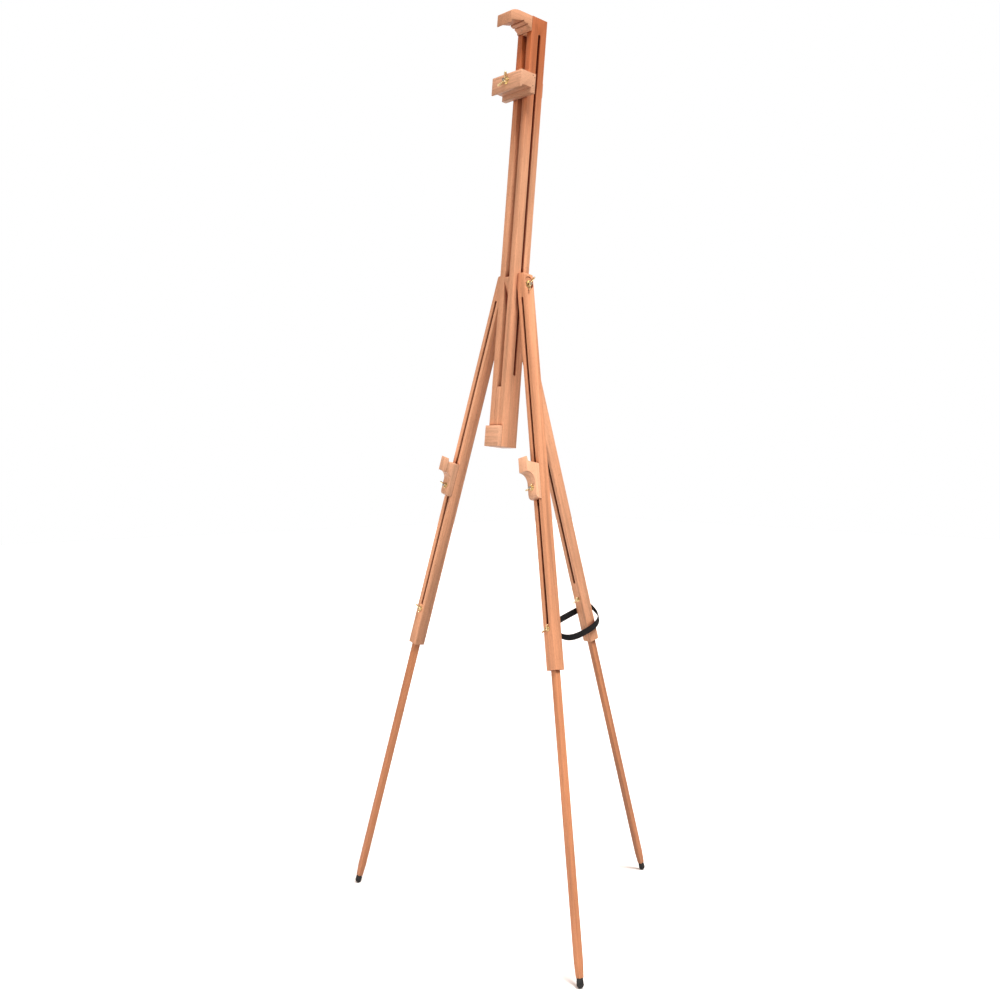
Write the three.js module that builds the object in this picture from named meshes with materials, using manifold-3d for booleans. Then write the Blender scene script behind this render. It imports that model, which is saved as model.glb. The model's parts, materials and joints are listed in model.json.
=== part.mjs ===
// Tripod field easel: a slotted mast held in a folding stand with three telescopic legs.
// Millimetres. +Z is up, the canvas faces -Y, and the rear leg stands towards +Y.
// The origin is on the floor, in the middle of the easel's outer box.

import * as THREE from 'three';
import Module from 'manifold-3d';
import { mergeVertices } from 'three/addons/utils/BufferGeometryUtils.js';

const wasm = await Module();
wasm.setup();

// ---------------------------------------------------------------- driving dimensions

const DEG = Math.PI / 180;
const GAP = 0.3;   // clearance between two pieces that touch
const SIDES = 16;  // facets round a bolt, washer or nut

// Stance. Every angle is measured from upright at the head bolt.
const MAST_LEAN = 5.56 * DEG;
const FRONT_LEAN = 6.71 * DEG;
const FRONT_SPLAY = 13.81 * DEG;
const REAR_LEAN = 17.07 * DEG;
const FRONT_REACH = 1722;  // head bolt to the ball of a front foot, along the leg

// Mast, measured from the head bolt
const MAST = {
  halfWidth: 27,
  railWidth: 18,
  front: -28,
  back: 24,
  top: 704,
  bottom: -426,
};
const FRONT_SLOT = { top: 660, bottom: -269, rearBevel: 50 };
const SIDE_SLOT = { top: 662, bottom: -238.6, width: 8.6 };
const FOOT_BLOCK = { top: -372, thickness: 12 };

// Canvas hook at the top of the mast
const HOOK = {
  front: -102,
  top: 703,
  noseTop: 693.6,
  noseBottom: 663.6,
  teeth: [[-60, 680.5], [-46, 676]],
};

// Canvas clamp, which slides on the front of the mast
const CLAMP = {
  halfWidth: 57,
  front: -79,
  top: 541,
  bottom: 496,
  bandFront: -42,
  bandBottom: 490,
  boltHeight: 523,
};
const CLAMP_RECESS = 8;
const REAR_PLATE = { halfWidth: 21, halfHeight: 19, thickness: 6 };
const CLAMP_BOLT = { frontEnd: 13, headRadius: 7, crownRadius: 6.2, shoulder: 3.6, headHeight: 4.2 };
const CLAMP_WASHER = { radius: 10, thickness: 1.5 };

// Head bolt, along X
const BOLT_RADIUS = 3;
const FOLD_PIVOT = 27.4;        // half the distance between the two front legs' fold lines
const PIVOT_TO_FACE = 0.15;     // fold line to the leg's inner face
const SPOT_FACE = 55.5;         // where the washers' recesses start
const SPOT_FACE_RADIUS = 13;
const BUSH = { outer: 4, inner: 3.35, start: 9.3, end: 26.7 };
const HEAD_WASHER = { radius: 9, thickness: 1.5 };
const HEAD_BOLT = { end: 69, headRadius: 8, crownRadius: 5, headHeight: 5, shoulder: 1.6, crown: 4.2 };
const RUNNING_GAP = 0.4;        // between the head bolt's washers and what turns on them
const SWEEP_END = 63;           // how far out the head bolt's clearance is swept

// Legs. A leg's own frame has its centre line on Z, with the head bolt at height 0.
const LEG_HALF = 15;
const LEG_TOP = 28;
const LEG_BOTTOM = -1004;
const LEG_BORE = { halfWidth: 8.4, front: -9.9, back: 8.4 };
const LOWER_LEG = { half: 8, inside: 115, taper: 34, tipHalf: 6.6 };
const LEG_SLOT_WIDTH = 8;
const FRONT_LEG = { slotTop: -41, slotBottom: -893, boreTop: -45, lockHeight: -903 };
const REAR_LEG = { slotTop: -275, slotBottom: -831, boreTop: -255, lockHeight: -877 };
const TONGUE = { halfWidth: 8.7, bottom: -235, boltOffset: 8 };
const INSERT = { radius: 4.5, flangeRadius: 6.5, flange: 1.2 };
const FOOT = { ballRadius: 8.6, topRadius: 7.6, height: 14, boreRadius: 5.6, boreBottom: -2 };

// Canvas rests on the front legs
const REST = {
  top: -488,
  lipTop: -476,
  lipFront: -57,
  lipBottom: -514,
  archRadius: 25,
  stemFront: -32,
  bottom: -580,
  boltHeight: -552,
};
const T_PLATE = { halfWidth: 7, halfHeight: 11, back: -8.4, front: -9.6 };
const REST_WASHER = { radius: 7, thickness: 1.2 };
const REST_STUD_END = 10;

// Strap on the rear leg: an oval loop, flatter where it lies along the leg's left face.
// The higher its power, the squarer a side's curve.
const STRAP = {
  height: 17,
  thickness: 1.8,
  level: -932,
  shear: -1.05,
  centre: -39,
  halfLength: 77,
  left: { half: 16.7, power: 4 },
  right: { half: 27, power: 2.6 },
  steps: 64,
};
const STRAP_SCREW = { radius: 1.6, headRadius: 4, headHeight: 1.6, depth: 5 };

// Wing nuts and wing screws
const BIG_WING = { half: 20, height: 14, boss: 6.2, bossHeight: 7.5, thickness: 2.6 };
const CLAMP_WING = { half: 22, height: 16, boss: 7, bossHeight: 8, thickness: 2.8 };
const SMALL_WING = { half: 14, height: 11, boss: 4.9, bossHeight: 6, thickness: 2.2 };

// ---------------------------------------------------------------- finishes

function finish(color, roughness, metalness) {
  return new THREE.MeshStandardMaterial({ color, roughness, metalness });
}

const BEECH = finish(0xdf9a66, 0.5, 0);
const BEECH_PALE = finish(0xe8ab80, 0.5, 0);
const BRASS = finish(0xb8924a, 0.3, 1);
const STEEL = finish(0x9a9a98, 0.35, 1);
const RUBBER = finish(0x141414, 0.8, 0);
const WEBBING = finish(0x0d0d0e, 0.9, 0);

// ---------------------------------------------------------------- solids

// Welds a geometry into one closed surface whose faces point out.
function closed(geometry) {
  const bare = geometry.clone();
  bare.deleteAttribute('normal');
  bare.deleteAttribute('uv');
  const welded = mergeVertices(bare, 1e-4);
  const place = welded.getAttribute('position').array;
  const corner = (i) => new THREE.Vector3().fromArray(place, 3 * i);
  const faces = [];
  let volume = 0;
  for (let i = 0; i < welded.index.count; i += 3) {
    const [a, b, c] = welded.index.array.slice(i, i + 3);
    if (a === b || b === c || c === a) continue;
    faces.push([a, b, c]);
    volume += corner(a).dot(corner(b).cross(corner(c)));
  }
  const outward = volume < 0 ? faces.map(([a, b, c]) => [a, c, b]) : faces;
  welded.setIndex(outward.flat());
  return welded;
}

function toSolid(geometry) {
  const shape = closed(geometry);
  return new wasm.Manifold(new wasm.Mesh({
    numProp: 3,
    vertProperties: new Float32Array(shape.getAttribute('position').array),
    triVerts: new Uint32Array(shape.index.array),
  }));
}

function toGeometry(solid) {
  const mesh = solid.getMesh();
  const geometry = new THREE.BufferGeometry();
  geometry.setAttribute('position', new THREE.BufferAttribute(mesh.vertProperties, 3));
  geometry.setIndex(Array.from(mesh.triVerts));
  return geometry;
}

function cut(geometry, tools) {
  const carve = (solid, tool) => solid.subtract(toSolid(tool));
  return toGeometry(tools.reduce(carve, toSolid(geometry)));
}

function join(first, second) {
  return toGeometry(toSolid(first).add(toSolid(second)));
}

function common(first, second) {
  return toGeometry(toSolid(first).intersect(toSolid(second)));
}

// A box from its low and high corners.
function block([x0, y0, z0], [x1, y1, z1]) {
  const box = new THREE.BoxGeometry(x1 - x0, y1 - y0, z1 - z0);
  return box.translate((x0 + x1) / 2, (y0 + y1) / 2, (z0 + z1) / 2);
}

// A turned piece from [radius, height] points, with its axis on Y.
function turned(profile, sides = SIDES) {
  return new THREE.LatheGeometry(profile.map(([r, h]) => new THREE.Vector2(r, h)), sides);
}

function ring(inner, outer, low, high) {
  return turned([[inner, low], [outer, low], [outer, high], [inner, high], [inner, low]]);
}

function rod(radius, low, high) {
  return turned([[0, low], [radius, low], [radius, high], [0, high]]);
}

function alongX(geometry) {
  return geometry.rotateZ(-Math.PI / 2);
}

// The radius of a faceted hole that clears a round shaft.
function clearance(radius) {
  return (radius + GAP) / Math.cos(Math.PI / SIDES);
}

function polygon(points) {
  return new THREE.Shape(points.map(([a, b]) => new THREE.Vector2(a, b)));
}

function extruded(shape, depth) {
  return new THREE.ExtrudeGeometry(shape, { depth, bevelEnabled: false, curveSegments: 6 });
}

// A slab from an outline drawn in X and Z.
function slabXZ(shape, y0, y1) {
  return extruded(shape, y1 - y0).rotateX(Math.PI / 2).translate(0, y1, 0);
}

// A slab from an outline drawn in Y and Z.
function slabYZ(shape, x0, x1) {
  return extruded(shape, x1 - x0).rotateX(Math.PI / 2).rotateZ(Math.PI / 2).translate(x0, 0, 0);
}

// A long hole with round ends, upright, drawn as an outline.
function slotShape(width, low, high) {
  const r = width / 2;
  const shape = new THREE.Shape();
  shape.absarc(0, high - r, r, 0, Math.PI, false);
  shape.absarc(0, low + r, r, Math.PI, 2 * Math.PI, false);
  return shape;
}

// ---------------------------------------------------------------- pieces and groups

function piece(parent, name, geometry, material) {
  const mesh = new THREE.Mesh(closed(geometry), material);
  mesh.name = name;
  parent.add(mesh);
}

function subGroup(parent, [x, y, z] = [0, 0, 0], [rx, ry] = [0, 0]) {
  const group = new THREE.Group();
  group.position.set(x, y, z);
  group.rotation.set(rx, ry, 0);
  parent.add(group);
  return group;
}

// ---------------------------------------------------------------- wing nuts and wing screws

function wingOutline({ half, height }) {
  const shape = new THREE.Shape();
  shape.moveTo(0, 1.5);
  shape.lineTo(4, 1.5);
  shape.quadraticCurveTo(0.5 * half, 2.2, 0.8 * half, 0.5 * height);
  shape.bezierCurveTo(half, 0.68 * height, 1.06 * half, height, 0.88 * half, height);
  shape.quadraticCurveTo(0.58 * half, height, 0.42 * half, 0.62 * height);
  shape.lineTo(0, 0.45 * height);
  return shape;
}

// The axis is Y, with the seat at 0 and the wings towards +Y. The turn is about that axis.
function wingBody(size, bossProfile, turn) {
  const wing = extruded(wingOutline(size), size.thickness).translate(0, 0, -size.thickness / 2);
  const wings = join(wing, wing.clone().scale(-1, 1, 1));
  return join(turned(bossProfile), wings).rotateY(turn);
}

function wingNut(size, turn) {
  const top = 0.78 * size.boss;
  const boss = [[0, 0], [size.boss, 0], [top, size.bossHeight], [0, size.bossHeight]];
  const bore = rod(clearance(BOLT_RADIUS), -1, size.height + 1);
  return cut(wingBody(size, boss, turn), [bore]);
}

function wingScrew(size, shank, turn) {
  const top = 0.78 * size.boss;
  const boss = [[0, -shank], [BOLT_RADIUS, -shank], [BOLT_RADIUS, 0], [size.boss, 0]];
  return wingBody(size, [...boss, [top, size.bossHeight], [0, size.bossHeight]], turn);
}

function facingFront(geometry, x, y, z) {
  return geometry.rotateX(Math.PI).translate(x, y, z);
}

// ---------------------------------------------------------------- head

function addHead(head) {
  const seat = SPOT_FACE + GAP;
  const outer = seat + HEAD_WASHER.thickness + RUNNING_GAP;
  const bolt = turned([
    [0, -outer - HEAD_BOLT.headHeight],
    [HEAD_BOLT.crownRadius, -outer - HEAD_BOLT.crown],
    [HEAD_BOLT.headRadius, -outer - HEAD_BOLT.shoulder],
    [HEAD_BOLT.headRadius, -outer],
    [BOLT_RADIUS, -outer],
    [BOLT_RADIUS, HEAD_BOLT.end],
    [0, HEAD_BOLT.end],
  ]);
  piece(head, 'head_bolt', alongX(bolt), STEEL);
  const washerRing = () => {
    return ring(clearance(BOLT_RADIUS), HEAD_WASHER.radius, seat, seat + HEAD_WASHER.thickness);
  };
  piece(head, 'head_bolt_washer', alongX(washerRing()), BRASS);
  piece(head, 'head_bolt_head_washer', alongX(washerRing()).scale(-1, 1, 1), BRASS);
  const nut = alongX(wingNut(BIG_WING, 1.1)).translate(outer, 0, 0);
  piece(head, 'head_wing_nut', nut, BRASS);
}

function addBushes(mast) {
  for (const [side, sign] of [['right', 1], ['left', -1]]) {
    const bush = alongX(ring(BUSH.inner, BUSH.outer, BUSH.start, BUSH.end));
    piece(mast, `mast_bush_${side}`, bush.scale(sign, 1, 1), BRASS);
  }
}

// ---------------------------------------------------------------- mast

function railGeometry() {
  const inner = MAST.halfWidth - MAST.railWidth;
  const low = [inner, MAST.front, MAST.bottom];
  const high = [MAST.halfWidth, MAST.back, MAST.top];
  const slot = slotShape(SIDE_SLOT.width, SIDE_SLOT.bottom, SIDE_SLOT.top);
  return cut(block(low, high), [slabYZ(slot, inner - 1, MAST.halfWidth + 1)]);
}

function addSpacers(mast) {
  const half = MAST.halfWidth - MAST.railWidth - GAP;
  const top = block([-half, MAST.front, FRONT_SLOT.top], [half, MAST.back, MAST.top]);
  piece(mast, 'mast_top_spacer', top, BEECH);
  const bottom = polygon([
    [MAST.front, MAST.bottom],
    [MAST.back, MAST.bottom],
    [MAST.back, FRONT_SLOT.bottom - FRONT_SLOT.rearBevel],
    [MAST.front, FRONT_SLOT.bottom],
  ]);
  piece(mast, 'mast_bottom_spacer', slabYZ(bottom, -half, half), BEECH);
}

// A nose at the front, and two saw-tooth grooves that grip the canvas edge underneath.
function hookOutline() {
  const heel = MAST.front - GAP;
  const shape = new THREE.Shape();
  shape.moveTo(heel, HOOK.top);
  shape.lineTo(HOOK.front + 27, HOOK.top);
  shape.quadraticCurveTo(HOOK.front + 8, HOOK.top - 2, HOOK.front, HOOK.noseTop);
  shape.lineTo(HOOK.front, HOOK.noseBottom);
  shape.lineTo(HOOK.front + 3, HOOK.noseBottom);
  shape.lineTo(HOOK.front + 6, HOOK.noseBottom + 7.5);
  for (const [depth, height] of HOOK.teeth) {
    shape.lineTo(depth, height);
    shape.lineTo(depth + 3.4, height + 3.6);
    shape.lineTo(depth + 4.6, height - 2);
  }
  shape.lineTo(heel - 4.5, HOOK.noseBottom + 6);
  shape.lineTo(heel - 3, HOOK.noseBottom);
  shape.lineTo(heel, HOOK.noseBottom);
  return shape;
}

function addMast(mast) {
  piece(mast, 'mast_right_rail', railGeometry(), BEECH);
  piece(mast, 'mast_left_rail', railGeometry().scale(-1, 1, 1), BEECH);
  addSpacers(mast);
  const plateBack = MAST.front - GAP;
  const low = [-MAST.halfWidth, plateBack - FOOT_BLOCK.thickness, MAST.bottom];
  const footBlock = block(low, [MAST.halfWidth, plateBack, FOOT_BLOCK.top]);
  piece(mast, 'mast_foot_block', footBlock, BEECH_PALE);
  piece(mast, 'top_canvas_hook', slabYZ(hookOutline(), -MAST.halfWidth, MAST.halfWidth), BEECH);
}

// ---------------------------------------------------------------- canvas clamp

// A nose, a shallow recess that sits on the canvas, and a deeper band against the mast.
function clampOutline() {
  const back = MAST.front - GAP;
  const shape = new THREE.Shape();
  shape.moveTo(back, CLAMP.top);
  shape.lineTo(CLAMP.front, CLAMP.top);
  shape.lineTo(CLAMP.front, CLAMP.bottom);
  shape.lineTo(CLAMP.front + 4, CLAMP.bottom);
  const ceiling = CLAMP.bottom + CLAMP_RECESS;
  shape.quadraticCurveTo(CLAMP.front + 6, ceiling, CLAMP.front + 15, ceiling);
  shape.lineTo(CLAMP.bandFront, ceiling);
  shape.lineTo(CLAMP.bandFront, CLAMP.bandBottom);
  shape.lineTo(back, CLAMP.bandBottom);
  return shape;
}

function addClamp(mast) {
  const hole = () => rod(clearance(BOLT_RADIUS), -100, 60).translate(0, 0, CLAMP.boltHeight);
  const body = slabYZ(clampOutline(), -CLAMP.halfWidth, CLAMP.halfWidth);
  piece(mast, 'canvas_clamp_block', cut(body, [hole()]), BEECH_PALE);
  const plateFront = MAST.back + GAP;
  const plateBack = plateFront + REAR_PLATE.thickness;
  const low = [-REAR_PLATE.halfWidth, plateFront, CLAMP.boltHeight - REAR_PLATE.halfHeight];
  const high = [REAR_PLATE.halfWidth, plateBack, CLAMP.boltHeight + REAR_PLATE.halfHeight];
  piece(mast, 'clamp_rear_plate', cut(block(low, high), [hole()]), BEECH);
  const headSeat = plateBack + GAP;
  const frontEnd = CLAMP.front - CLAMP_BOLT.frontEnd;
  const bolt = turned([
    [0, frontEnd],
    [BOLT_RADIUS, frontEnd],
    [BOLT_RADIUS, headSeat],
    [CLAMP_BOLT.headRadius, headSeat],
    [CLAMP_BOLT.crownRadius, headSeat + CLAMP_BOLT.shoulder],
    [0, headSeat + CLAMP_BOLT.headHeight],
  ]);
  piece(mast, 'clamp_bolt', bolt.translate(0, 0, CLAMP.boltHeight), STEEL);
  const seat = CLAMP.front - GAP;
  const face = seat - CLAMP_WASHER.thickness;
  const washer = ring(clearance(BOLT_RADIUS), CLAMP_WASHER.radius, face, seat);
  piece(mast, 'clamp_washer', washer.translate(0, 0, CLAMP.boltHeight), BRASS);
  const nut = facingFront(wingNut(CLAMP_WING, 0.85), 0, face - GAP, CLAMP.boltHeight);
  piece(mast, 'clamp_wing_nut', nut, BRASS);
}

// ---------------------------------------------------------------- parts that all legs share

function boreTool(top, bottom) {
  const low = [-LEG_BORE.halfWidth, LEG_BORE.front, bottom - 5];
  return block(low, [LEG_BORE.halfWidth, LEG_BORE.back, top]);
}

function slotTool(top, bottom) {
  return slabXZ(slotShape(LEG_SLOT_WIDTH, bottom, top), -LEG_HALF - 1, LEG_BORE.front + 0.5);
}

function insertTool(height) {
  return rod(clearance(INSERT.radius), -LEG_HALF - 1, LEG_BORE.front + 0.5).translate(0, 0, height);
}

function addLegLock(leg, name, height) {
  const seat = -LEG_HALF - GAP;
  const inner = clearance(BOLT_RADIUS);
  const insert = turned([
    [inner, seat - INSERT.flange],
    [INSERT.flangeRadius, seat - INSERT.flange],
    [INSERT.flangeRadius, seat],
    [INSERT.radius, seat],
    [INSERT.radius, LEG_BORE.front - 0.1],
    [inner, LEG_BORE.front - 0.1],
    [inner, seat - INSERT.flange],
  ]);
  piece(leg, `${name}_leg_insert`, insert.translate(0, 0, height), BRASS);
  const screwSeat = seat - INSERT.flange - GAP;
  const shank = -LOWER_LEG.half - GAP - screwSeat;
  const screw = facingFront(wingScrew(SMALL_WING, shank, 0.7), 0, screwSeat, height);
  piece(leg, `${name}_leg_wing_screw`, screw, BRASS);
}

// A square bar that tapers to the rubber foot, which holds a short square peg.
function addLowerLeg(leg, name, ballHeight) {
  const diagonal = Math.SQRT2;
  const shoulder = ballHeight + FOOT.height + GAP;
  const peg = FOOT.boreRadius - GAP - 0.1;
  const bar = turned([
    [0, ballHeight + FOOT.boreBottom + GAP],
    [peg, ballHeight + FOOT.boreBottom + GAP],
    [peg, shoulder],
    [LOWER_LEG.tipHalf * diagonal, shoulder],
    [LOWER_LEG.half * diagonal, shoulder + LOWER_LEG.taper],
    [LOWER_LEG.half * diagonal, LEG_BOTTOM + LOWER_LEG.inside],
    [0, LEG_BOTTOM + LOWER_LEG.inside],
  ], 4);
  piece(leg, `${name}_lower_leg`, bar.rotateY(Math.PI / 4).rotateX(Math.PI / 2), BEECH_PALE);
  const ball = [-90, -75, -60, -45, -30, -15, 0].map((angle) => [
    FOOT.ballRadius * Math.cos(angle * DEG),
    FOOT.ballRadius * Math.sin(angle * DEG),
  ]);
  const foot = turned([
    ...ball,
    [FOOT.topRadius, FOOT.height],
    [FOOT.boreRadius, FOOT.height],
    [FOOT.boreRadius, FOOT.boreBottom],
    [0, FOOT.boreBottom],
  ]);
  piece(leg, `${name}_rubber_foot`, foot.rotateX(Math.PI / 2).translate(0, 0, ballHeight), RUBBER);
}

// ---------------------------------------------------------------- front legs

// The inner face is bevelled above the bolt so that it lies flat on the mast,
// and the top is level while the leg stands splayed.
function frontLegOutline() {
  const slope = Math.tan(FRONT_SPLAY);
  const innerTop = (LEG_TOP - PIVOT_TO_FACE * Math.sin(FRONT_SPLAY)) * Math.cos(FRONT_SPLAY);
  const innerEdge = -LEG_HALF + innerTop * slope;
  const outerTop = innerTop - (LEG_HALF - innerEdge) * slope;
  const shape = new THREE.Shape();
  shape.moveTo(-LEG_HALF, LEG_BOTTOM);
  shape.lineTo(LEG_HALF, LEG_BOTTOM);
  shape.lineTo(LEG_HALF, outerTop - 5);
  shape.quadraticCurveTo(LEG_HALF, outerTop, LEG_HALF - 5, outerTop + 5 * slope);
  shape.lineTo(innerEdge, innerTop);
  shape.lineTo(-LEG_HALF, 0);
  return shape;
}

// The side view: the rear top corner is rounded.
function frontLegSide() {
  const radius = 13;
  const shape = new THREE.Shape();
  shape.moveTo(-LEG_HALF, LEG_BOTTOM - 1);
  shape.lineTo(LEG_HALF, LEG_BOTTOM - 1);
  shape.lineTo(LEG_HALF, LEG_TOP - radius);
  shape.quadraticCurveTo(LEG_HALF, LEG_TOP, LEG_HALF - radius, LEG_TOP);
  shape.lineTo(-LEG_HALF, LEG_TOP);
  return shape;
}

// The space that the head bolt and its washer or nut sweep, seen from a folding leg.
function foldTools() {
  const steps = 5;
  const tools = [];
  for (let i = 0; i < steps; i += 1) {
    const turn = (FRONT_SPLAY * i) / (steps - 1);
    const shift = -LEG_HALF - PIVOT_TO_FACE;
    const bolt = alongX(rod(clearance(BOLT_RADIUS), -6, SWEEP_END));
    const spot = alongX(rod(SPOT_FACE_RADIUS, SPOT_FACE - FOLD_PIVOT, SWEEP_END));
    tools.push(bolt.rotateY(turn).translate(shift, 0, 0));
    tools.push(spot.rotateY(turn).translate(shift, 0, 0));
  }
  return tools;
}

function frontUpperLeg() {
  const body = slabXZ(frontLegOutline(), -LEG_HALF, LEG_HALF);
  const side = slabYZ(frontLegSide(), -LEG_HALF - 1, LEG_HALF + 1);
  return cut(common(body, side), [
    boreTool(FRONT_LEG.boreTop, LEG_BOTTOM),
    slotTool(FRONT_LEG.slotTop, FRONT_LEG.slotBottom),
    insertTool(FRONT_LEG.lockHeight),
    ...foldTools(),
  ]);
}

// A lip at the front, a flat ledge, and a concave sweep down to the stem.
function restOutline() {
  const back = -LEG_HALF - GAP;
  const corner = 12;
  const shape = new THREE.Shape();
  shape.moveTo(back, REST.top - 2);
  shape.lineTo(REST.lipFront + 7, REST.top);
  shape.quadraticCurveTo(REST.lipFront + 4, REST.top + 2, REST.lipFront + 2.4, REST.lipTop);
  shape.lineTo(REST.lipFront, REST.lipTop);
  shape.lineTo(REST.lipFront, REST.lipBottom);
  shape.absarc(
    REST.lipFront,
    REST.lipBottom - REST.archRadius,
    REST.archRadius,
    Math.PI / 2,
    0,
    true,
  );
  shape.lineTo(REST.stemFront, REST.bottom + corner);
  shape.quadraticCurveTo(REST.stemFront, REST.bottom, REST.stemFront + corner, REST.bottom);
  shape.lineTo(back, REST.bottom);
  return shape;
}

function addRest(leg, side) {
  const height = REST.boltHeight;
  const body = slabYZ(restOutline(), -LEG_HALF, LEG_HALF);
  const hole = rod(clearance(BOLT_RADIUS), REST.stemFront - 20, 0).translate(0, 0, height);
  piece(leg, `${side}_canvas_rest`, cut(body, [hole]), BEECH_PALE);
  const plate = block(
    [-T_PLATE.halfWidth, T_PLATE.front, height - T_PLATE.halfHeight],
    [T_PLATE.halfWidth, T_PLATE.back, height + T_PLATE.halfHeight],
  );
  const stud = rod(BOLT_RADIUS, REST.stemFront - REST_STUD_END, T_PLATE.front + 0.5);
  piece(leg, `${side}_rest_bolt`, join(plate, stud.translate(0, 0, height)), STEEL);
  const seat = REST.stemFront - GAP;
  const face = seat - REST_WASHER.thickness;
  const washer = ring(clearance(BOLT_RADIUS), REST_WASHER.radius, face, seat);
  piece(leg, `${side}_rest_washer`, washer.translate(0, 0, height), BRASS);
  const nut = facingFront(wingNut(SMALL_WING, 0.5), 0, face - GAP, height);
  piece(leg, `${side}_rest_wing_nut`, nut, BRASS);
}

function mirrorGroup(group) {
  for (const mesh of group.children) {
    mesh.geometry = closed(mesh.geometry.clone().scale(-1, 1, 1));
  }
}

function addFrontLeg(head, side, sign) {
  const pivot = subGroup(head, [sign * FOLD_PIVOT, 0, 0], [-FRONT_LEAN, -sign * FRONT_SPLAY]);
  const leg = subGroup(pivot, [sign * (LEG_HALF + PIVOT_TO_FACE), 0, 0]);
  piece(leg, `${side}_upper_leg`, frontUpperLeg(), BEECH);
  addLegLock(leg, side, FRONT_LEG.lockHeight);
  addLowerLeg(leg, side, -FRONT_REACH);
  addRest(leg, side);
  if (sign < 0) mirrorGroup(leg);
}

// ---------------------------------------------------------------- rear leg

// A thin tongue runs in the mast's front slot, and its nose is cut flush with the mast.
function rearUpperLeg() {
  const tongueLow = [-TONGUE.halfWidth, -LEG_HALF, TONGUE.bottom - 1];
  const tongue = block(tongueLow, [TONGUE.halfWidth, LEG_HALF, LEG_TOP]);
  const shaft = block([-LEG_HALF, -LEG_HALF, LEG_BOTTOM], [LEG_HALF, LEG_HALF, TONGUE.bottom]);
  const bolt = alongX(rod(clearance(BOLT_RADIUS), -20, 20)).translate(0, TONGUE.boltOffset, 0);
  const nose = block([-20, MAST.front - 40, -60], [20, MAST.front, 80]);
  nose.rotateX(-MAST_LEAN - REAR_LEAN).translate(0, TONGUE.boltOffset, 0);
  const screwEnd = -LEG_HALF + STRAP_SCREW.depth + GAP;
  const screwHole = alongX(rod(clearance(STRAP_SCREW.radius), -LEG_HALF - 1, screwEnd));
  return cut(join(tongue, shaft), [
    bolt,
    nose,
    boreTool(REAR_LEG.boreTop, LEG_BOTTOM),
    slotTool(REAR_LEG.slotTop, REAR_LEG.slotBottom),
    insertTool(REAR_LEG.lockHeight),
    screwHole.translate(0, 0, strapHeight(strapLeft(0))),
  ]);
}

function strapHeight(x) {
  return STRAP.level + STRAP.shear * x;
}

// A closed loop round the leg and out to the front, seen from above.
function strapLoop(offset) {
  const points = [];
  for (let i = 0; i < STRAP.steps; i += 1) {
    const turn = (2 * Math.PI * i) / STRAP.steps;
    const side = Math.cos(turn) < 0 ? STRAP.left : STRAP.right;
    const bend = (value) => Math.sign(value) * Math.abs(value) ** (2 / side.power);
    const x = (side.half + offset) * bend(Math.cos(turn));
    points.push([x, STRAP.centre + (STRAP.halfLength + offset) * bend(Math.sin(turn))]);
  }
  return polygon(points);
}

// Where the loop passes the middle of the leg's left face.
function strapLeft(offset) {
  const { half, power } = STRAP.left;
  const along = Math.abs(STRAP.centre) / (STRAP.halfLength + offset);
  return -(half + offset) * (1 - along ** power) ** (1 / power);
}

function strapGeometry() {
  const shape = strapLoop(STRAP.thickness);
  shape.holes.push(strapLoop(0));
  const band = extruded(shape, STRAP.height).translate(0, 0, STRAP.level - STRAP.height / 2);
  const shear = new THREE.Matrix4().makeShear(0, STRAP.shear, 0, 0, 0, 0);
  return band.applyMatrix4(shear);
}

function addStrap(leg) {
  const height = strapHeight(strapLeft(0));
  const hole = alongX(rod(clearance(STRAP_SCREW.radius), -LEG_HALF - 10, -LEG_HALF + 1));
  piece(leg, 'carrying_strap', cut(strapGeometry(), [hole.translate(0, 0, height)]), WEBBING);
  const seat = strapLeft(STRAP.thickness) - GAP;
  const screw = turned([
    [0, seat - STRAP_SCREW.headHeight],
    [0.9 * STRAP_SCREW.headRadius, seat - STRAP_SCREW.headHeight / 2],
    [STRAP_SCREW.headRadius, seat],
    [STRAP_SCREW.radius, seat],
    [STRAP_SCREW.radius, -LEG_HALF + 0.6 * STRAP_SCREW.depth],
    [0, -LEG_HALF + STRAP_SCREW.depth],
  ]);
  piece(leg, 'strap_screw', alongX(screw).translate(0, 0, height), BRASS);
}

function addRearLeg(head) {
  const swing = subGroup(head, [0, 0, 0], [REAR_LEAN, 0]);
  const leg = subGroup(swing, [0, -TONGUE.boltOffset, 0]);
  const rise = (LEG_HALF + PIVOT_TO_FACE) * Math.sin(FRONT_SPLAY);
  const drop = (FRONT_REACH * Math.cos(FRONT_SPLAY) - rise) * Math.cos(FRONT_LEAN);
  const reach = (drop - TONGUE.boltOffset * Math.sin(REAR_LEAN)) / Math.cos(REAR_LEAN);
  piece(leg, 'rear_upper_leg', rearUpperLeg(), BEECH);
  addLegLock(leg, 'rear', REAR_LEG.lockHeight);
  addLowerLeg(leg, 'rear', -reach);
  addStrap(leg);
}

// ---------------------------------------------------------------- easel

const easel = new THREE.Group();
const head = subGroup(easel);
addHead(head);
const mast = subGroup(head, [0, 0, 0], [-MAST_LEAN, 0]);
addBushes(mast);
addMast(mast);
addClamp(mast);
addFrontLeg(head, 'right', 1);
addFrontLeg(head, 'left', -1);
addRearLeg(head);

// Stand the easel on the floor, centred on the origin.
easel.updateMatrixWorld(true);
const box = new THREE.Box3().setFromObject(easel, true);
const centre = box.getCenter(new THREE.Vector3());
head.position.set(0, -centre.y, -box.min.z);

export default easel;
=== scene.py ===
"""Looks for a tripod field easel: oiled beech, cast brass, rubber feet and a webbing strap."""

import json
import math

import bmesh
import bpy
from mathutils import Matrix, Vector

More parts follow.
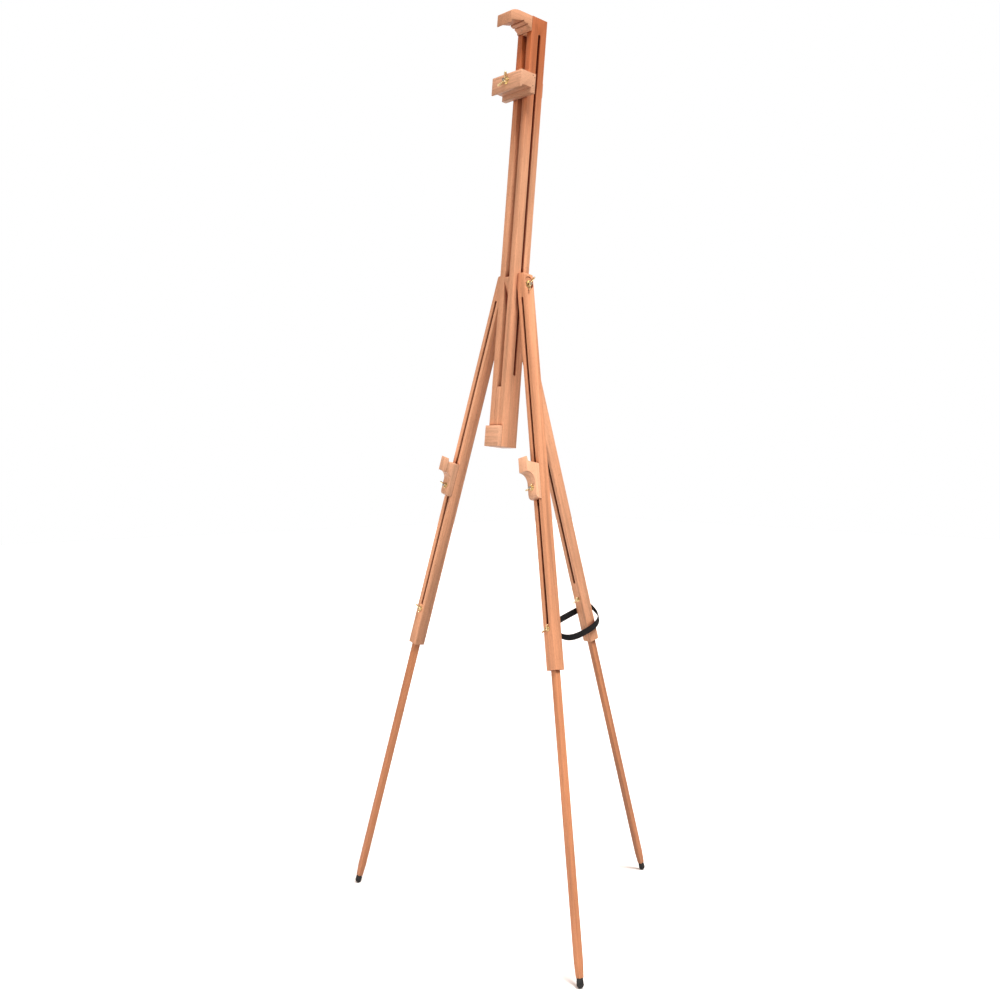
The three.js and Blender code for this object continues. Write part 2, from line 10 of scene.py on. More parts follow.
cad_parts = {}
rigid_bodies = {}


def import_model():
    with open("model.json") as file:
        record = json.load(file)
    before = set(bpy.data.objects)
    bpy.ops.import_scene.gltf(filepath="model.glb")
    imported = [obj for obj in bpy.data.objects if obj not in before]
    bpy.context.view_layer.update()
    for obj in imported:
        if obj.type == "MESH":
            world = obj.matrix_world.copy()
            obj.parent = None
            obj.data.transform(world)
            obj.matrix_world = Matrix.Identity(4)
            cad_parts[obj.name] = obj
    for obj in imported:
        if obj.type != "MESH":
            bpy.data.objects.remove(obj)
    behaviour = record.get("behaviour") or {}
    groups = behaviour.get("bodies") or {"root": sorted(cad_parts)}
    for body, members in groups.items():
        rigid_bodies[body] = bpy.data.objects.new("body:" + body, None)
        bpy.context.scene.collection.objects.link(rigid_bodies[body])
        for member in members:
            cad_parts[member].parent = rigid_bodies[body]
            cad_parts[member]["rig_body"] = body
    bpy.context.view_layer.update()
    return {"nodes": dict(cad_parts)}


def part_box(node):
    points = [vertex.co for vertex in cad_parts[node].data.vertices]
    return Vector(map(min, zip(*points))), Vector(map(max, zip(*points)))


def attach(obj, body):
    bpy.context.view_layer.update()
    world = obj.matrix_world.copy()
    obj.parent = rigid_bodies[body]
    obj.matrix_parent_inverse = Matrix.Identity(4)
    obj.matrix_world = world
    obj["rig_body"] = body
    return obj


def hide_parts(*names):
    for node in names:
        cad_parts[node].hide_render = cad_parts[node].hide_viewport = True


# ---------------------------------------------------------------- driving values, in metres

MM = 0.001

# Stance of the easel's parts, in degrees from upright
MAST_LEAN = 5.56
FRONT_LEAN = 6.71
FRONT_SPLAY = 13.81
REAR_LEAN = 17.07

# Places in the easel's own frames
FOLD_PIVOT = 27.4 * MM
LEG_AXIS_OFFSET = 15.15 * MM
REAR_AXIS_OFFSET = 8 * MM
FOOT_BALL = 8.6 * MM
CLAMP_HALF_WIDTH = 57 * MM

# Camera
CAMERA_PLACE = (2.4167, -2.2683, 1.2266)
CAMERA_TURN = 49.476
CAMERA_PITCH = -2.2035
CAMERA_LENS = 43.71
CAMERA_SIGHT = 200

# Light
SKY_STRENGTH = 0.68
SKY_COLOR = "#ffe2d2"
GROUND_COLOR = "#34150a"
HORIZON_BAND = (-0.4, 0.5)
KEY_STRENGTH = 4.6
KEY_ELEVATION = 62
KEY_AZIMUTH = -6
KEY_SOFTNESS = 24
KEY_DISTANCE = 5
FILL_PLACE = (0.9, -2.6, 0.5)
FILL_AIM = (0, -0.2, 0.8)
FILL_POWER = 47
FILL_SIZE = 1.2
FLOOR_HALF = 14
FLOOR_DROP = 0.2 * MM
FLOOR_GREY = 0.86

# Finishes, and the colours of painted shade
BEECH = "#e2a67f"
BEECH_MIDDLE = "#d6966e"
BEECH_DARK = "#c08058"
BEECH_PALE = "#e6b08c"
# The colour of the painted shade in slots and hollows
BEECH_CREVICE_SHADE = "#8c3c16"
BEECH_FLECK = "#8a4620"
# How far the ambient occlusion looks when it places the painted crevice shade
CREVICE_SHADE_REACH = 22 * MM
# Painted shade on the upper part of the mast's rails, and the heights over which it grows
MAST_TOP_SHADE = "#dca26e"
MAST_SHADE_RANGE = (250 * MM, 640 * MM)
# Each _DARK colour is the metal's patina; at 0.6 of its brightness it also paints shade in the hollows
BRASS = "#e4d2a4"
BRASS_DARK = "#3f2e16"
STEEL = "#b4b4b0"
STEEL_DARK = "#6a655c"
NAIL = "#40342c"
NAIL_DARK = "#1c140e"
RUBBER = "#121212"
DUST = "#3a3835"
WEBBING = "#040404"
WEBBING_RAISED = "#101012"
WEBBING_LINT = "#242426"
WAVE_SCALE = 0.31416  # the wave texture's scale for bands one metre apart


# ---------------------------------------------------------------- colours and shader nodes


def linear(code, gain=1.0):
    """A hex colour as linear RGBA, with its brightness scaled."""
    parts = [int(code[i : i + 2], 16) / 255 for i in (1, 3, 5)]
    values = [c / 12.92 if c <= 0.04045 else ((c + 0.055) / 1.055) ** 2.4 for c in parts]
    return (*[min(1.0, v * gain) for v in values], 1.0)


def add_node(tree, kind, inputs=None, **settings):
    """Adds a shader node. A socket given as an input is linked, and any other value is set."""
    made = tree.nodes.new(kind)
    for key, value in settings.items():
        setattr(made, key, value)
    for key, value in (inputs or {}).items():
        if isinstance(value, bpy.types.NodeSocket):
            tree.links.new(value, made.inputs[key])
        else:
            made.inputs[key].default_value = value
    return made


def new_material(name, **constants):
    """A material with a Principled shader, whose uniform values sit on the shader's sockets."""
    material = bpy.data.materials.new(name)
    material.use_nodes = True
    shader = material.node_tree.nodes["Principled BSDF"]
    for key, value in constants.items():
        shader.inputs[key.replace("_", " ")].default_value = value
    return material, material.node_tree, shader


def remap(tree, value, low, high, to_low, to_high):
    ranged = add_node(
        tree,
        "ShaderNodeMapRange",
        {"Value": value, "From Min": low, "From Max": high, "To Min": to_low, "To Max": to_high},
        interpolation_type="SMOOTHSTEP",
    )
    return ranged.outputs["Result"]


def mixed(tree, first, second, factor, blend="MIX"):
    made = add_node(tree, "ShaderNodeMix", data_type="RGBA", blend_type=blend)
    for index, value in ((0, factor), (6, first), (7, second)):
        if isinstance(value, bpy.types.NodeSocket):
            tree.links.new(value, made.inputs[index])
        else:
            made.inputs[index].default_value = value
    return made.outputs[2]


def noise(tree, vector, scale=1.0, detail=2.0, roughness=0.5, distortion=0.0):
    inputs = {
        "Vector": vector,
        "Scale": scale,
        "Detail": detail,
        "Roughness": roughness,
        "Distortion": distortion,
    }
    return add_node(tree, "ShaderNodeTexNoise", inputs).outputs["Fac"]


def coordinates(tree, kind):
    return add_node(tree, "ShaderNodeTexCoord").outputs[kind]


def height_of(tree, vector):
    return add_node(tree, "ShaderNodeSeparateXYZ", {"Vector": vector}).outputs["Z"]


def bump(tree, shader, height, strength, distance):
    made = add_node(
        tree,
        "ShaderNodeBump",
        {"Height": height, "Strength": strength, "Distance": distance},
    )
    tree.links.new(made.outputs["Normal"], shader.inputs["Normal"])


# ---------------------------------------------------------------- materials


def grain_vector(tree, grain_frame):
    """Coordinates in the grain's own frame."""
    inputs = {
        "Vector": coordinates(tree, "Object"),
        "Location": grain_frame.translation,
        "Rotation": grain_frame.to_euler("XYZ"),
    }
    return add_node(tree, "ShaderNodeMapping", inputs, vector_type="TEXTURE").outputs["Vector"]


def stretched(tree, local, seed, across, along):
    """Grain coordinates scaled across and along the grain, shifted so that no two pieces match."""
    shift = (0.37 * seed * across, 0.53 * seed * across, 0.71 * seed * along)
    inputs = {"Vector": local, "Location": shift, "Scale": (across, across, along)}
    return add_node(tree, "ShaderNodeMapping", inputs).outputs["Vector"]


def ring_tone(tree, rings, color):
    ramp = add_node(tree, "ShaderNodeValToRGB", {"Fac": rings})
    stops = ramp.color_ramp.elements
    stops[0].position = 0.3
    stops[0].color = linear(color, 0.74)
    stops[1].position = 0.72
    stops[1].color = linear(color, 1.16)
    middle = stops.new(0.5)
    middle.color = linear(color, 0.98)
    return ramp.outputs["Color"]


def with_end_grain(tree, tone, color, grain_frame, pores):
    """Shows open pores where the surface faces along the grain."""
    facing = add_node(
        tree,
        "ShaderNodeVectorMath",
        {0: coordinates(tree, "Normal"), 1: grain_frame.to_3x3() @ Vector((0, 0, 1))},
        operation="DOT_PRODUCT",
    ).outputs["Value"]
    along = add_node(tree, "ShaderNodeMath", {0: facing}, operation="ABSOLUTE").outputs["Value"]
    open_pores = remap(tree, pores, 0.4, 0.6, 0, 1)
    end_tone = mixed(tree, linear(color, 0.75), linear(color, 1.05), open_pores)
    return mixed(tree, tone, end_tone, remap(tree, along, 0.8, 0.97, 0.0, 1.0))


def with_painted_crevice_shade(tree, tone):
    """Paints shade into slots, hollows and the gaps between parts: the colour darkens where ambient
    occlusion finds the surface closed in.
    """
    openness = add_node(tree, "ShaderNodeAmbientOcclusion", {"Distance": CREVICE_SHADE_REACH}).outputs["AO"]
    crevice_shade = mixed(tree, tone, linear(BEECH_CREVICE_SHADE), 1.0, "MULTIPLY")
    return mixed(tree, tone, crevice_shade, remap(tree, openness, 0.25, 0.8, 1.0, 0.0))


def beech_material(name, grain_frame, color, seed, top_shade=None):
    """Oiled beech whose grain runs along Z of grain_frame. A colour given as the last argument paints
    shade on the mast's rails, growing towards their top.
    """
    material, tree, shader = new_material(name, Coat_Weight=0.1, Coat_Roughness=0.32, IOR=1.48)
    local = grain_vector(tree, grain_frame)

    def space(across, along):
        return stretched(tree, local, seed, across, along)

    rings = noise(tree, space(70, 2.2), detail=4, roughness=0.55, distortion=0.5)
    patches = noise(tree, space(14, 3.5), detail=2)
    fibres = noise(tree, space(900, 20), detail=3, roughness=0.6)
    flecks = remap(tree, noise(tree, space(1300, 230), detail=1), 0.6, 0.72, 0.0, 0.5)
    pores = noise(tree, space(700, 700), detail=2)
    tone = ring_tone(tree, rings, color)
    tone = mixed(tree, tone, remap(tree, patches, 0.3, 0.7, 0.9, 1.08), 1.0, "MULTIPLY")
    tone = mixed(tree, tone, remap(tree, fibres, 0.25, 0.75, 0.86, 1.1), 1.0, "MULTIPLY")
    # Painted shade: the mast's rails turn darker and more orange towards their top
    if top_shade:
        top_shaded = mixed(tree, tone, linear(top_shade), 1.0, "MULTIPLY")
        tone = mixed(tree, tone, top_shaded, remap(tree, height_of(tree, local), *MAST_SHADE_RANGE, 0.0, 0.9))
    tone = mixed(tree, tone, linear(BEECH_FLECK), flecks)
    tone = with_end_grain(tree, tone, color, grain_frame, pores)
    # Painted shade in slots, hollows and the gaps between parts
    tone = with_painted_crevice_shade(tree, tone)
    tree.links.new(tone, shader.inputs["Base Color"])
    tree.links.new(remap(tree, fibres, 0.3, 0.7, 0.6, 0.42), shader.inputs["Roughness"])
    bump(tree, shader, mixed(tree, fibres, (0, 0, 0, 1), flecks), 0.3, 0.25 * MM)
    return material


def metal_material(name, color, dark, roughness, wear):
    """Cast or plated metal with a noisy patina, darker in its hollows, where patina gathers and shade is
    painted, and with a painted highlight on its edges.
    """
    material, tree, shader = new_material(name, Metallic=1.0)
    local = coordinates(tree, "Object")
    pointiness = add_node(tree, "ShaderNodeNewGeometry").outputs["Pointiness"]
    patina = noise(tree, local, 260, 4, 0.6)
    grain = noise(tree, local, 2600, 2)
    # Hollows, found by pointiness, take patina and painted shade
    hollow_patina_and_shade = remap(tree, pointiness, 0.44, 0.52, 1.0, 0.0)
    tone = mixed(tree, linear(color), linear(dark), remap(tree, patina, 0.42, 0.72, 0.0, wear))
    tone = mixed(tree, tone, linear(dark, 0.6), hollow_patina_and_shade)
    # Painted highlight on the sharp edges
    tone = mixed(tree, tone, linear(color, 1.4), remap(tree, pointiness, 0.53, 0.6, 0.0, 0.6))
    tree.links.new(tone, shader.inputs["Base Color"])
    spread = remap(tree, patina, 0.3, 0.7, roughness, roughness + 0.2)
    tree.links.new(spread, shader.inputs["Roughness"])
    bump(tree, shader, mixed(tree, patina, grain, 0.4), 0.25, 0.12 * MM)
    return material


def rubber_material():
    material, tree, shader = new_material("rubber", Specular_IOR_Level=0.35)
    local = coordinates(tree, "Object")
    dust = noise(tree, local, 90, 4, 0.6)
    grain = noise(tree, local, 1800, 2)
    tone = mixed(tree, linear(RUBBER), linear(DUST), remap(tree, dust, 0.5, 0.8, 0, 0.6))
    tree.links.new(tone, shader.inputs["Base Color"])
    tree.links.new(remap(tree, dust, 0.3, 0.7, 0.55, 0.85), shader.inputs["Roughness"])
    bump(tree, shader, grain, 0.3, 0.15 * MM)
    return material


def webbing_material(name, pitch, sheen):
    """Woven tape. U runs along the tape and V across it, in metres."""
    material, tree, shader = new_material(name, Sheen_Weight=sheen, Specular_IOR_Level=0.15)
    uv = coordinates(tree, "UV")
    bands = []
    for direction in ("X", "Y"):
        wave = add_node(
            tree,
            "ShaderNodeTexWave",
            {"Vector": uv, "Scale": WAVE_SCALE / pitch, "Distortion": 0.4, "Detail": 1.0},
            bands_direction=direction,
        )
        bands.append(wave.outputs["Fac"])
    weave = mixed(tree, bands[0], bands[1], 0.5)
    lint = noise(tree, uv, 900, 3, 0.6)
    tone = mixed(tree, linear(WEBBING), linear(WEBBING_RAISED), weave)
    tone = mixed(tree, tone, linear(WEBBING_LINT), remap(tree, lint, 0.6, 0.8, 0, 0.5))
    tree.links.new(tone, shader.inputs["Base Color"])
    tree.links.new(remap(tree, weave, 0, 1, 0.95, 0.75), shader.inputs["Roughness"])
    bump(tree, shader, mixed(tree, weave, lint, 0.35), 0.6, 0.35 * MM)
    return material


# ---------------------------------------------------------------- camera, light and floor


def add_camera():
    data = bpy.data.cameras.new("camera")
    data.lens = CAMERA_LENS
    data.clip_end = CAMERA_SIGHT
    camera = bpy.data.objects.new("camera", data)
    turn, pitch = math.radians(CAMERA_TURN), math.radians(CAMERA_PITCH)
    ahead = Vector((-math.sin(turn) * math.cos(pitch), math.cos(turn) * math.cos(pitch), math.sin(pitch)))
    camera.location = CAMERA_PLACE
    camera.rotation_mode = "QUATERNION"
    camera.rotation_quaternion = ahead.to_track_quat("-Z", "Y")
    bpy.context.scene.collection.objects.link(camera)
    bpy.context.scene.camera = camera


def add_light(name, kind, strength, place, aim, **settings):
    data = bpy.data.lights.new(name, kind)
    data.energy = strength
    for key, value in settings.items():
        setattr(data, key, value)
    light = bpy.data.objects.new(name, data)
    light.location = place
    light.rotation_mode = "QUATERNION"
    light.rotation_quaternion = (Vector(aim) - Vector(place)).to_track_quat("-Z", "Y")
    bpy.context.scene.collection.objects.link(light)


def add_lights():
    up, round_ = math.radians(KEY_ELEVATION), math.radians(KEY_AZIMUTH)
    towards = Vector((math.cos(up) * math.cos(round_), math.cos(up) * math.sin(round_), math.sin(up)))
    softness = math.radians(KEY_SOFTNESS)
    add_light("key", "SUN", KEY_STRENGTH, towards * KEY_DISTANCE, (0, 0, 0), angle=softness)
    add_light("fill", "AREA", FILL_POWER, FILL_PLACE, FILL_AIM, size=FILL_SIZE)


def add_world():
    """Soft warm light from above, dim from below, and a white backdrop that only the camera sees."""
    world = bpy.data.worlds.new("studio")
    world.use_nodes = True
    bpy.context.scene.world = world
    tree = world.node_tree
    tree.nodes.clear()
    height = height_of(tree, coordinates(tree, "Generated"))
    lift = remap(tree, height, *HORIZON_BAND, 0.0, 1.0)
    shade = mixed(tree, linear(GROUND_COLOR), linear(SKY_COLOR), lift)
    soft = add_node(tree, "ShaderNodeBackground", {"Color": shade, "Strength": SKY_STRENGTH})
    white = add_node(tree, "ShaderNodeBackground", {"Color": (1, 1, 1, 1), "Strength": 1.0})
    path = add_node(tree, "ShaderNodeLightPath")
    both = add_node(
        tree,
        "ShaderNodeMixShader",
        {0: path.outputs["Is Camera Ray"], 1: soft.outputs[0], 2: white.outputs[0]},
    )
    add_node(tree, "ShaderNodeOutputWorld", {"Surface": both.outputs[0]})


def add_floor():
    corners = [(-FLOOR_HALF, -FLOOR_HALF), (FLOOR_HALF, -FLOOR_HALF)]
    corners += [(FLOOR_HALF, FLOOR_HALF), (-FLOOR_HALF, FLOOR_HALF)]
    mesh = bpy.data.meshes.new("floor")
    mesh.from_pydata([(x, y, -FLOOR_DROP) for x, y in corners], [], [(0, 1, 2, 3)])
    grey = (FLOOR_GREY, FLOOR_GREY, FLOOR_GREY, 1)
    material, _, _ = new_material("floor", Base_Color=grey, Roughness=0.9)
    mesh.materials.append(material)
    floor = bpy.data.objects.new("floor", mesh)
    floor.visible_diffuse = False
    bpy.context.scene.collection.objects.link(floor)


# ---------------------------------------------------------------- frames of the easel's parts


def part_frames():
    """The frame of each part: its origin is on the part's centre line, level with the head bolt."""
    low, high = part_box("head_bolt_washer")
    head = Matrix.Translation((0, (low.y + high.y) / 2, (low.z + high.z) / 2))

    def leaning(angle):
        return Matrix.Rotation(math.radians(angle), 4, "X")

    frames = {"mast": head @ leaning(-MAST_LEAN)}
    for side, sign in (("right", 1), ("left", -1)):
        pivot = head @ Matrix.Translation((sign * FOLD_PIVOT, 0, 0))
        splay = Matrix.Rotation(math.radians(-sign * FRONT_SPLAY), 4, "Y")
        offset = Matrix.Translation((sign * LEG_AXIS_OFFSET, 0, 0))
        frames[side] = pivot @ leaning(-FRONT_LEAN) @ splay @ offset
    frames["rear"] = head @ leaning(REAR_LEAN) @ Matrix.Translation((0, -REAR_AXIS_OFFSET, 0))
    return frames


GRAIN_TURNS = {
    "Z": Matrix.Identity(4),
    "X": Matrix.Rotation(math.radians(90), 4, "Y"),
    "Y": Matrix.Rotation(math.radians(-90), 4, "X"),
}


# ---------------------------------------------------------------- mesh pieces

WELD_DISTANCE = 0.01 * MM
FLAT_ANGLE = math.radians(0.5)
EASED_ANGLE = math.radians(35)
SMOOTH_ANGLE = math.radians(40)
TURNED_ANGLE = math.radians(50)
TAPE_ANGLE = math.radians(60)
TURNED_SIDES = 40


def link_piece(name, mesh, material, body, replaced=()):
    obj = bpy.data.objects.new(name, mesh)
    bpy.context.scene.collection.objects.link(obj)
    mesh.materials.clear()
    mesh.materials.append(material)
    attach(obj, body)
    if replaced:
        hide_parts(*replaced)


def node_bmesh(frame, node):
    made = bmesh.new()
    made.from_mesh(frame["nodes"][node].data)
    bmesh.ops.remove_doubles(made, verts=made.verts, dist=WELD_DISTANCE)
    return made


def smooth_mesh(made, name, sharp_angle=SMOOTH_ANGLE):
    """Turns the bmesh into a mesh that is smooth apart from its sharp edges."""
    for face in made.faces:
        face.smooth = True
    for edge in made.edges:
        edge.smooth = len(edge.link_faces) == 2 and edge.calc_face_angle(0) < sharp_angle
    mesh = bpy.data.meshes.new(name)
    made.to_mesh(mesh)
    made.free()
    return mesh


def eased_mesh(frame, node, width, shortest=1.0 * MM):
    """A copy of a node's mesh with its edges eased, as a sanded or turned piece has them."""
    made = node_bmesh(frame, node)
    bmesh.ops.dissolve_limit(made, angle_limit=FLAT_ANGLE, verts=made.verts, edges=made.edges)
    edges = [e for e in made.edges if len(e.link_faces) == 2 and e.calc_face_angle(0) > EASED_ANGLE]
    edges = [e for e in edges if e.calc_length() > shortest]
    bmesh.ops.bevel(
        made,
        geom=edges,
        offset=width,
        segments=2,
        profile=0.6,
        affect="EDGES",
        clamp_overlap=True,
    )
    return smooth_mesh(made, node)


def cast_mesh(frame, node, voxel):
    """A copy of a node's mesh with the soft edges of a casting."""
    source = smooth_mesh(node_bmesh(frame, node), node)
    helper = bpy.data.objects.new(node + "_cast", source)
    bpy.context.scene.collection.objects.link(helper)
    remesh = helper.modifiers.new("remesh", "REMESH")
    remesh.mode = "VOXEL"
    remesh.voxel_size = voxel
    smoothing = helper.modifiers.new("smooth", "SMOOTH")
    smoothing.factor = 0.5
    smoothing.iterations = 5
    thinned = helper.modifiers.new("thin", "DECIMATE")
    thinned.ratio = 0.45
    graph = bpy.context.evaluated_depsgraph_get()
    mesh = bpy.data.meshes.new_from_object(helper.evaluated_get(graph))
    bpy.data.objects.remove(helper)
    for polygon in mesh.polygons:
        polygon.use_smooth = True
    mesh.name = node
    return mesh


def turned_piece(name, profile, place):
    """A turned solid, from (radius, height) points that start and end on the axis."""
    made = bmesh.new()
    rings = []
    for radius, height in profile:
        count = 1 if radius == 0 else TURNED_SIDES
        turns = [2 * math.pi * k / TURNED_SIDES for k in range(count)]
        spots = [Vector((radius * math.cos(turn), radius * math.sin(turn), height)) for turn in turns]
        rings.append([made.verts.new(place @ spot) for spot in spots])
    for a, b in zip(rings, rings[1:]):
        for k in range(TURNED_SIDES):
            n = (k + 1) % TURNED_SIDES
            corners = [a[k % len(a)], a[n % len(a)], b[n % len(b)], b[k % len(b)]]
            made.faces.new(list(dict.fromkeys(corners)))
    bmesh.ops.recalc_face_normals(made, faces=made.faces)
    return smooth_mesh(made, name, TURNED_ANGLE)


# ---------------------------------------------------------------- wooden pieces

# node, frame, grain, colour
WOOD = [
    ("mast_right_rail", "mast", "Z", BEECH),
    ("mast_left_rail", "mast", "Z", BEECH),
    ("mast_top_spacer", "mast", "Z", BEECH),
    ("mast_bottom_spacer", "mast", "Z", BEECH),
    ("mast_foot_block", "mast", "X", BEECH_PALE),
    ("top_canvas_hook", "mast", "Y", BEECH),
    ("canvas_clamp_block", "mast", "X", BEECH_PALE),
    ("clamp_rear_plate", "mast", "X", BEECH),
    ("right_upper_leg", "right", "Z", BEECH_MIDDLE),
    ("left_upper_leg", "left", "Z", BEECH),
    ("rear_upper_leg", "rear", "Z", BEECH),
    ("right_lower_leg", "right", "Z", BEECH_DARK),
    ("left_lower_leg", "left", "Z", BEECH_DARK),
    ("rear_lower_leg", "rear", "Z", BEECH_DARK),
    ("right_canvas_rest", "right", "Z", BEECH_PALE),
    ("left_canvas_rest", "left", "Z", BEECH_PALE),
]
WOOD_EDGE = 0.8 * MM


def node_body(frame, node):
    return frame["nodes"][node]["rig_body"]


def add_wood(frame, frames):
    for seed, (node, part, grain, color) in enumerate(WOOD, start=1):
        # Only the mast's rails carry the painted shade at their top
        top_shade = MAST_TOP_SHADE if node.endswith("_rail") else None
        grain_frame = frames[part] @ GRAIN_TURNS[grain]
        material = beech_material("beech_" + node, grain_frame, color, seed, top_shade)
        mesh = eased_mesh(frame, node, WOOD_EDGE)
        link_piece(node + "_wood", mesh, material, node_body(frame, node), [node])


# ---------------------------------------------------------------- metal pieces


CAST = [
    "head_wing_nut",
    "clamp_wing_nut",
    "right_leg_wing_screw",
    "left_leg_wing_screw",
    "rear_leg_wing_screw",
    "right_rest_wing_nut",
    "left_rest_wing_nut",
]
EASED_BRASS = [
    "head_bolt_washer",
    "head_bolt_head_washer",
    "mast_bush_right",
    "mast_bush_left",
    "clamp_washer",
    "right_leg_insert",
    "left_leg_insert",
    "rear_leg_insert",
    "right_rest_washer",
    "left_rest_washer",
    "strap_screw",
]
EASED_STEEL = ["head_bolt", "clamp_bolt", "right_rest_bolt", "left_rest_bolt"]
CAST_VOXEL = 0.38 * MM
METAL_EDGE = 0.25 * MM
METAL_SHORTEST = 0.1 * MM


def add_metal(frame, brass, steel):
    for node in CAST:
        mesh = cast_mesh(frame, node, CAST_VOXEL)
        link_piece(node + "_cast", mesh, brass, node_body(frame, node), [node])
    for nodes, material, slot in ((EASED_BRASS, brass, "brass"), (EASED_STEEL, steel, "steel")):
        for node in nodes:
            mesh = eased_mesh(frame, node, METAL_EDGE, METAL_SHORTEST)
            link_piece(f"{node}_{slot}", mesh, material, node_body(frame, node), [node])


# ---------------------------------------------------------------- rubber feet

# Heights of the grip rings and (radius, height) points of the rim and bore, in millimetres
FOOT_GRIPS = (1.5, 4.6)
FOOT_RIM = [(7.9, 10.6), (7.9, 13.4), (7.5, 14), (6.2, 14), (5.8, 13.6), (5.6, -2), (0, -2)]
GRIP_DEPTH = 0.7 * MM


def foot_profile():
    """A ball-ended boot with two grip rings and a thick rim, open at the top for the leg's peg."""
    ball = FOOT_BALL
    points = [(0, -ball)]
    for i in range(1, 10):
        angle = math.radians(-90 + 10 * i)
        points.append((ball * math.cos(angle), ball * math.sin(angle)))
    for low in FOOT_GRIPS:
        points += [(ball, low * MM), (ball - GRIP_DEPTH, (low + 0.4) * MM)]
        points += [(ball - GRIP_DEPTH, (low + 1.2) * MM), (ball - 0.1 * MM, (low + 1.6) * MM)]
    points += [(radius * MM, height * MM) for radius, height in FOOT_RIM]
    return points


def foot_centre(side):
    """The centre of a foot's ball, found from the foot's box: it touches the floor and the outer edge."""
    low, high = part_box(side + "_rubber_foot")
    if side == "rear":
        return Vector((0, high.y - FOOT_BALL, FOOT_BALL))
    x = high.x - FOOT_BALL if side == "right" else low.x + FOOT_BALL
    return Vector((x, low.y + FOOT_BALL, FOOT_BALL))


def add_feet(frame, frames, rubber):
    for side in ("right", "left", "rear"):
        place = Matrix.Translation(foot_centre(side)) @ frames[side].to_3x3().to_4x4()
        node = side + "_rubber_foot"
        mesh = turned_piece(node, foot_profile(), place)
        link_piece(node + "_boot", mesh, rubber, node_body(frame, node), [node])


# ---------------------------------------------------------------- strap

STRAP_HALF_HEIGHT = 8.5 * MM
STRAP_LEVEL = -932 * MM
STRAP_SHEAR = -1.05
STRAP_CENTRE = -39 * MM
STRAP_HALF_LENGTH = 77 * MM
STRAP_LEFT = (16.7 * MM, 4)
STRAP_RIGHT = (27 * MM, 2.6)
STRAP_STEPS = 128
STRAP_MIDDLE = 0.9 * MM
STRAP_HALF_THICKNESS = 0.75 * MM
WEAVE_PITCH = 1.1 * MM
TAB_STEPS = (70, 94)
TAB_MIDDLE = 2.35 * MM
TAB_HALF_THICKNESS = 0.5 * MM
TAB_INSET = 0.6 * MM
PILE_PITCH = 0.6 * MM
SELVEDGE_START = 0.82
SELVEDGE_THINNING = 0.45
SECTION_COLUMNS = 6


def strap_path(offset):
    """The strap's oval loop seen from above in the rear leg's frame, from its right side round the back.

    It is flatter on its left side, where it lies along the leg.
    """
    points = []
    for step in range(STRAP_STEPS):
        turn = 2 * math.pi * step / STRAP_STEPS
        across, along = math.cos(turn), math.sin(turn)
        half, power = STRAP_LEFT if across < 0 else STRAP_RIGHT
        x = (half + offset) * math.copysign(abs(across) ** (2 / power), across)
        y = (STRAP_HALF_LENGTH + offset) * math.copysign(abs(along) ** (2 / power), along)
        points.append((x, STRAP_CENTRE + y))
    return points


def strap_section(half_height, half_thickness):
    """A tape's closed section, with rounded selvedges, as (height, depth) points."""
    outer = []
    for i in range(SECTION_COLUMNS + 1):
        across = -1 + 2 * i / SECTION_COLUMNS
        edge = max(0.0, abs(across) - SELVEDGE_START) / (1 - SELVEDGE_START)
        outer.append((across * half_height, half_thickness * (1 - SELVEDGE_THINNING * edge)))
    return outer + [(height, -depth) for height, depth in reversed(outer)]


def tape_rings(made, path, place, closed, section):
    """Adds the section's points at each step of the path."""
    count = len(path)
    rings = []
    for i, point in enumerate(path):
        before = path[(i - 1) % count] if closed or i > 0 else point
        after = path[(i + 1) % count] if closed or i < count - 1 else point
        tangent = Vector((after[0] - before[0], after[1] - before[1])).normalized()
        normal = Vector((tangent.y, -tangent.x))
        ring = []
        for height, depth in section:
            x = point[0] + normal.x * depth
            y = point[1] + normal.y * depth
            z = STRAP_LEVEL + STRAP_SHEAR * x + height
            ring.append(made.verts.new(place @ Vector((x, y, z))))
        rings.append(ring)
    return rings


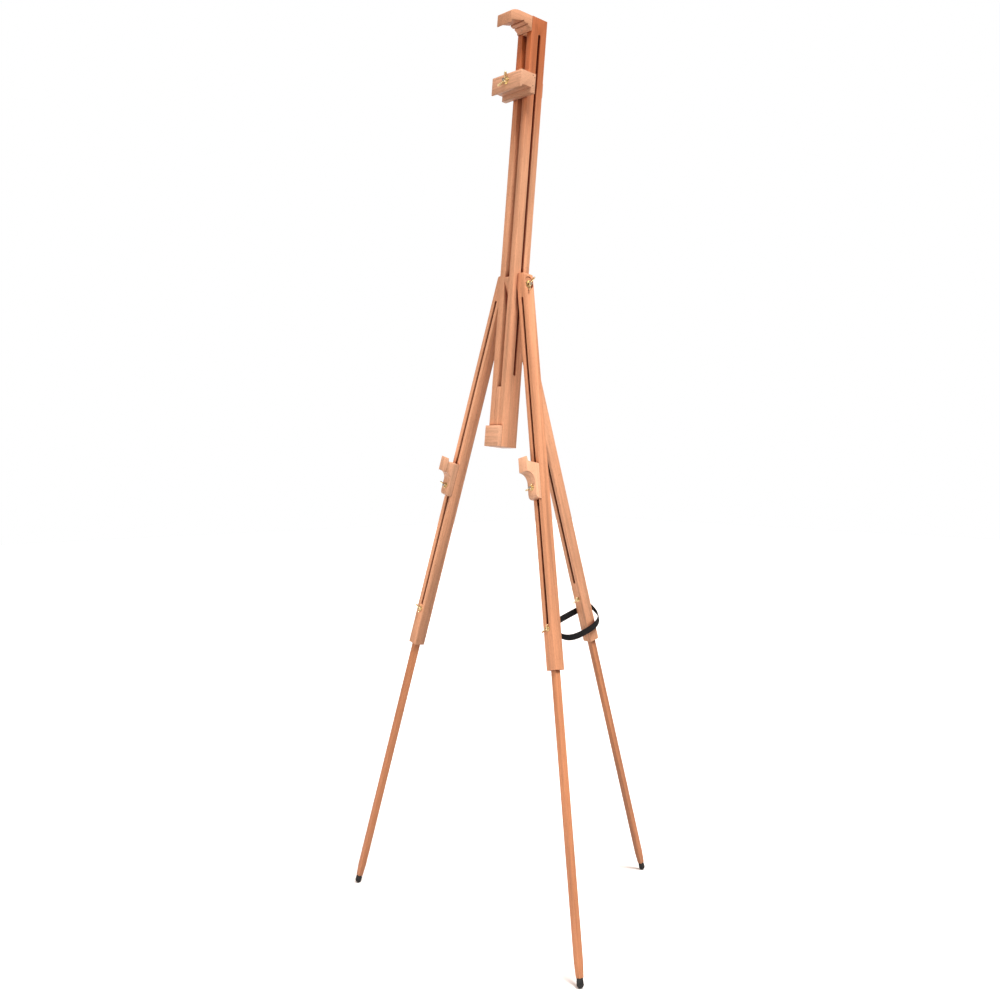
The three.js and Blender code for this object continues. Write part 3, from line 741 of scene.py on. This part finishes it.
def tape_mesh(name, path, place, closed, half_height, half_thickness):
    """A tape of real thickness along a path seen from above, with UVs in metres."""
    made = bmesh.new()
    uv = made.loops.layers.uv.new("UVMap")
    section = strap_section(half_height, half_thickness)
    rings = tape_rings(made, path, place, closed, section)
    count = len(path)
    start = 0.0
    for i in range(count if closed else count - 1):
        a, b = rings[i], rings[(i + 1) % count]
        end = start + math.dist(path[i], path[(i + 1) % count])
        for k in range(len(section)):
            n = (k + 1) % len(section)
            face = made.faces.new([a[k], a[n], b[n], b[k]])
            low, high = section[k][0], section[n][0]
            spots = [(start, low), (start, high), (end, high), (end, low)]
            for loop, spot in zip(face.loops, spots):
                loop[uv].uv = spot
        start = end
    if not closed:
        made.faces.new(rings[0])
        made.faces.new(list(reversed(rings[-1])))
    bmesh.ops.recalc_face_normals(made, faces=made.faces)
    return smooth_mesh(made, name, TAPE_ANGLE)


def add_strap(frame, frames):
    place = frames["rear"]
    body = node_body(frame, "carrying_strap")
    path = strap_path(STRAP_MIDDLE)
    loop = tape_mesh("strap", path, place, True, STRAP_HALF_HEIGHT, STRAP_HALF_THICKNESS)
    weave = webbing_material("strap_weave", WEAVE_PITCH, 0.05)
    link_piece("carrying_strap_loop", loop, weave, body, ["carrying_strap"])
    start, end = TAB_STEPS
    path = strap_path(TAB_MIDDLE)[start:end]
    tab = tape_mesh("strap_tab", path, place, False, STRAP_HALF_HEIGHT - TAB_INSET, TAB_HALF_THICKNESS)
    pile = webbing_material("strap_pile", PILE_PITCH, 0.1)
    link_piece("strap_hook_tab", tab, pile, body)


# ---------------------------------------------------------------- clamp nails

# (depth, height) of each nail in the mast's frame, and (radius, height) of its outline, in millimetres
NAILS = [(-37, 536), (-31, 531), (-36, 509)]
NAIL_OUTLINE = [(0, -1.2), (0.8, -1.2), (1.3, 0), (1.1, 0.15), (0, 0.25)]


def add_nails(frames, iron):
    """Small nail heads in the clamp's right end."""
    profile = [(radius * MM, height * MM) for radius, height in NAIL_OUTLINE]
    for number, (depth, height) in enumerate(NAILS, start=1):
        place = frames["mast"] @ Matrix.Translation((CLAMP_HALF_WIDTH, depth * MM, height * MM))
        place = place @ GRAIN_TURNS["X"]
        mesh = turned_piece("nail", profile, place)
        link_piece(f"clamp_nail_{number}", mesh, iron, "clamp")


# ---------------------------------------------------------------- scene

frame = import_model()
add_camera()
add_world()
add_lights()
add_floor()
bpy.context.scene.view_settings.view_transform = "Standard"
part_places = part_frames()
brass = metal_material("cast_brass", BRASS, BRASS_DARK, 0.24, 0.55)
steel = metal_material("plated_steel", STEEL, STEEL_DARK, 0.28, 0.5)
iron = metal_material("nail_iron", NAIL, NAIL_DARK, 0.5, 0.6)
rubber = rubber_material()
add_wood(frame, part_places)
add_metal(frame, brass, steel)
add_feet(frame, part_places, rubber)
add_strap(frame, part_places)
add_nails(part_places, iron)
